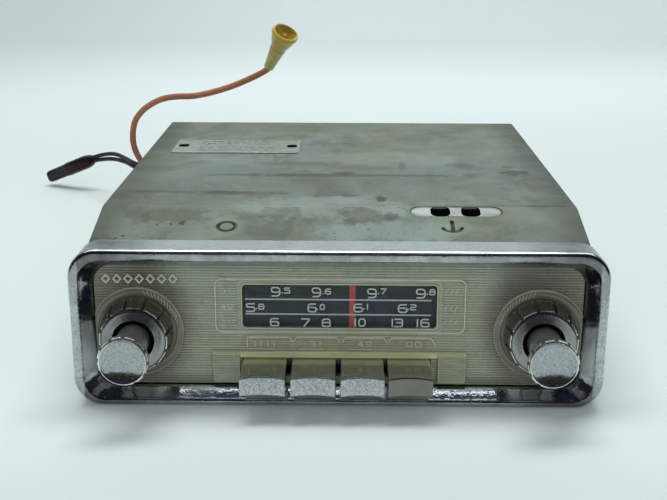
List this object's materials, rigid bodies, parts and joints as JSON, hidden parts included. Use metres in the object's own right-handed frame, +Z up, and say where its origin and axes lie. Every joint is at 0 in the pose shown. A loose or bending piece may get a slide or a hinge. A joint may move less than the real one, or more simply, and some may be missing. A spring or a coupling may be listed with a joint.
{
  "type": "car radio",
  "caption": "Slim in-dash car radio with a chromed bezel, dial window with red pointer, push keys and concentric knobs on both sides, steel casing and rear leads.",
  "frame": {"origin": "centre of the casing's flat underside, on the plane of the underside", "axes": "+X to the right seen from the front, +Y from the front towards the rear, +Z up; the front with its knobs and keys faces -Y"},
  "size_m": [0.2855, 0.3616, 0.1128],
  "materials": {
    "chrome": "lightly pitted chrome plating",
    "satin_metal": "satin, finely pitted face",
    "fascia": "translucent olive-grey acrylic with fine ribs",
    "dial_glass": "clear polished window",
    "dial_black": "dark navy print",
    "plated_sheet": "grey-green plated sheet with dull streaks",
    "nameplate": "satin lacquered",
    "bright_metal": "bright",
    "steel": "zinc plated",
    "brass": "machined",
    "black_plastic": "semi-matt",
    "red_pointer": "red lacquer",
    "cord": "braided",
    "board": "phenolic board",
    "ferrite": "dark grey",
    "rubber": "aged",
    "coax_jacket": "aged orange-brown jacket",
    "nylon": "aged translucent nylon"
  },
  "bodies": {
    "chassis": {"antenna_lead": "coax_jacket", "antenna_plug": "nylon", "band_switch": "board", "bezel": "chrome", "chassis_tray": "plated_sheet", "circuit_board": "board", "coil_block": "board", "cover_screw_left_front": "steel", "cover_screw_left_rear": "steel", "cover_screw_right_front": "steel", "cover_screw_right_rear": "steel", "dial_backplate": "dial_black", "dial_cord": "cord", "dial_glass": "dial_glass", "dial_lamp": "bright_metal", "fader_pot": "steel", "fascia_panel": "fascia", "filter_capacitor": "bright_metal", "front_plate": "steel", "key_spring_1": "steel", "key_spring_2": "steel", "key_spring_3": "steel", "key_spring_4": "steel", "lead_plug": "black_plastic", "left_bushing_nut": "brass", "nameplate": "nameplate", "output_transformer": "bright_metal", "pointer_rail": "steel", "power_transistor": "steel", "rear_grommet": "rubber", "rear_plate": "plated_sheet", "right_bushing_nut": "brass", "switch_guide": "steel", "top_cover": "plated_sheet", "trimmer_strip": "bright_metal", "twin_lead": "rubber", "volume_tone_pot": "steel"},
    "volume": {"volume_knob": "satin_metal", "volume_shaft": "steel"},
    "tone": {"tone_ring_knob": "satin_metal", "tone_sleeve": "brass"},
    "tuning": {"tuning_knob": "satin_metal", "tuning_shaft": "steel"},
    "fader": {"fader_ring_knob": "satin_metal", "fader_sleeve": "brass"},
    "pointer_car": {"pointer": "red_pointer", "pointer_carriage": "brass"},
    "cores": {"core_carriage": "ferrite"},
    "pulley_left": {"cord_pulley_left": "black_plastic"},
    "pulley_upper": {"cord_pulley_upper": "black_plastic"},
    "pulley_lower": {"cord_pulley_lower": "black_plastic"},
    "latch": {"latch_bar": "steel"},
    "key_1": {"key_cap_1": "chrome", "key_plunger_1": "steel"},
    "key_2": {"key_cap_2": "chrome", "key_plunger_2": "steel"},
    "key_3": {"key_cap_3": "chrome", "key_plunger_3": "steel"},
    "key_4": {"key_cap_4": "chrome", "key_plunger_4": "steel"}
  },
  "joints": [
    {"name": "volume_turn", "type": "hinge", "parent": "chassis", "child": "volume", "pos_m": [-0.0717, -0.152, 0.0267], "axis": [0, 1, 0], "range_deg": [0, 285]},
    {"name": "tone_turn", "type": "hinge", "parent": "chassis", "child": "tone", "pos_m": [-0.0717, -0.1324, 0.0267], "axis": [0, 1, 0], "range_deg": [-135, 135]},
    {"name": "tuning_turn", "type": "hinge", "parent": "chassis", "child": "tuning", "pos_m": [0.0717, -0.152, 0.0267], "axis": [0, 1, 0], "range_deg": [-641, 505]},
    {"name": "fader_turn", "type": "hinge", "parent": "chassis", "child": "fader", "pos_m": [0.0717, -0.1324, 0.0267], "axis": [0, 1, 0], "range_deg": [-135, 135]},
    {"name": "pointer_slide", "type": "slide", "parent": "chassis", "child": "pointer_car", "axis": [1, 0, 0], "range_m": [-0.036, 0.0284]},
    {"name": "core_slide", "type": "slide", "parent": "chassis", "child": "cores", "axis": [0, 1, 0], "range_m": [-0.0102, 0.0081]},
    {"name": "pulley_left_turn", "type": "hinge", "parent": "chassis", "child": "pulley_left", "pos_m": [-0.047, -0.094, 0.052], "axis": [0, 1, 0], "range_deg": [-686, 541]},
    {"name": "pulley_upper_turn", "type": "hinge", "parent": "chassis", "child": "pulley_upper", "pos_m": [0.052, -0.094, 0.052], "axis": [0, 1, 0], "range_deg": [-686, 541]},
    {"name": "pulley_lower_turn", "type": "hinge", "parent": "chassis", "child": "pulley_lower", "pos_m": [0.045, -0.094, 0.046], "axis": [0, 1, 0], "range_deg": [-541, 686]},
    {"name": "key_1_press", "type": "slide", "parent": "chassis", "child": "key_1", "axis": [0, 1, 0], "range_m": [0, 0.005], "stiffness_N_per_m": 300, "deforming": ["key_spring_1"]},
    {"name": "key_2_press", "type": "slide", "parent": "chassis", "child": "key_2", "axis": [0, 1, 0], "range_m": [0, 0.005], "stiffness_N_per_m": 300, "deforming": ["key_spring_2"]},
    {"name": "key_3_press", "type": "slide", "parent": "chassis", "child": "key_3", "axis": [0, 1, 0], "range_m": [0, 0.005], "stiffness_N_per_m": 300, "deforming": ["key_spring_3"]},
    {"name": "key_4_press", "type": "slide", "parent": "chassis", "child": "key_4", "axis": [0, 1, 0], "range_m": [0, 0.005], "stiffness_N_per_m": 300, "deforming": ["key_spring_4"]},
    {"name": "latch_slide", "type": "slide", "parent": "chassis", "child": "latch", "axis": [1, 0, 0], "range_m": [0, 0.002], "stiffness_N_per_m": 200}
  ],
  "couplings": [
    {"joint": "pointer_slide", "follows": "tuning_turn", "m_per_rad": 0.0032},
    {"joint": "core_slide", "follows": "tuning_turn", "m_per_rad": 0.0009},
    {"joint": "pulley_left_turn", "follows": "tuning_turn", "ratio": 1.0667},
    {"joint": "pulley_upper_turn", "follows": "tuning_turn", "ratio": 1.0667},
    {"joint": "pulley_lower_turn", "follows": "tuning_turn", "ratio": -1.0667}
  ]
}
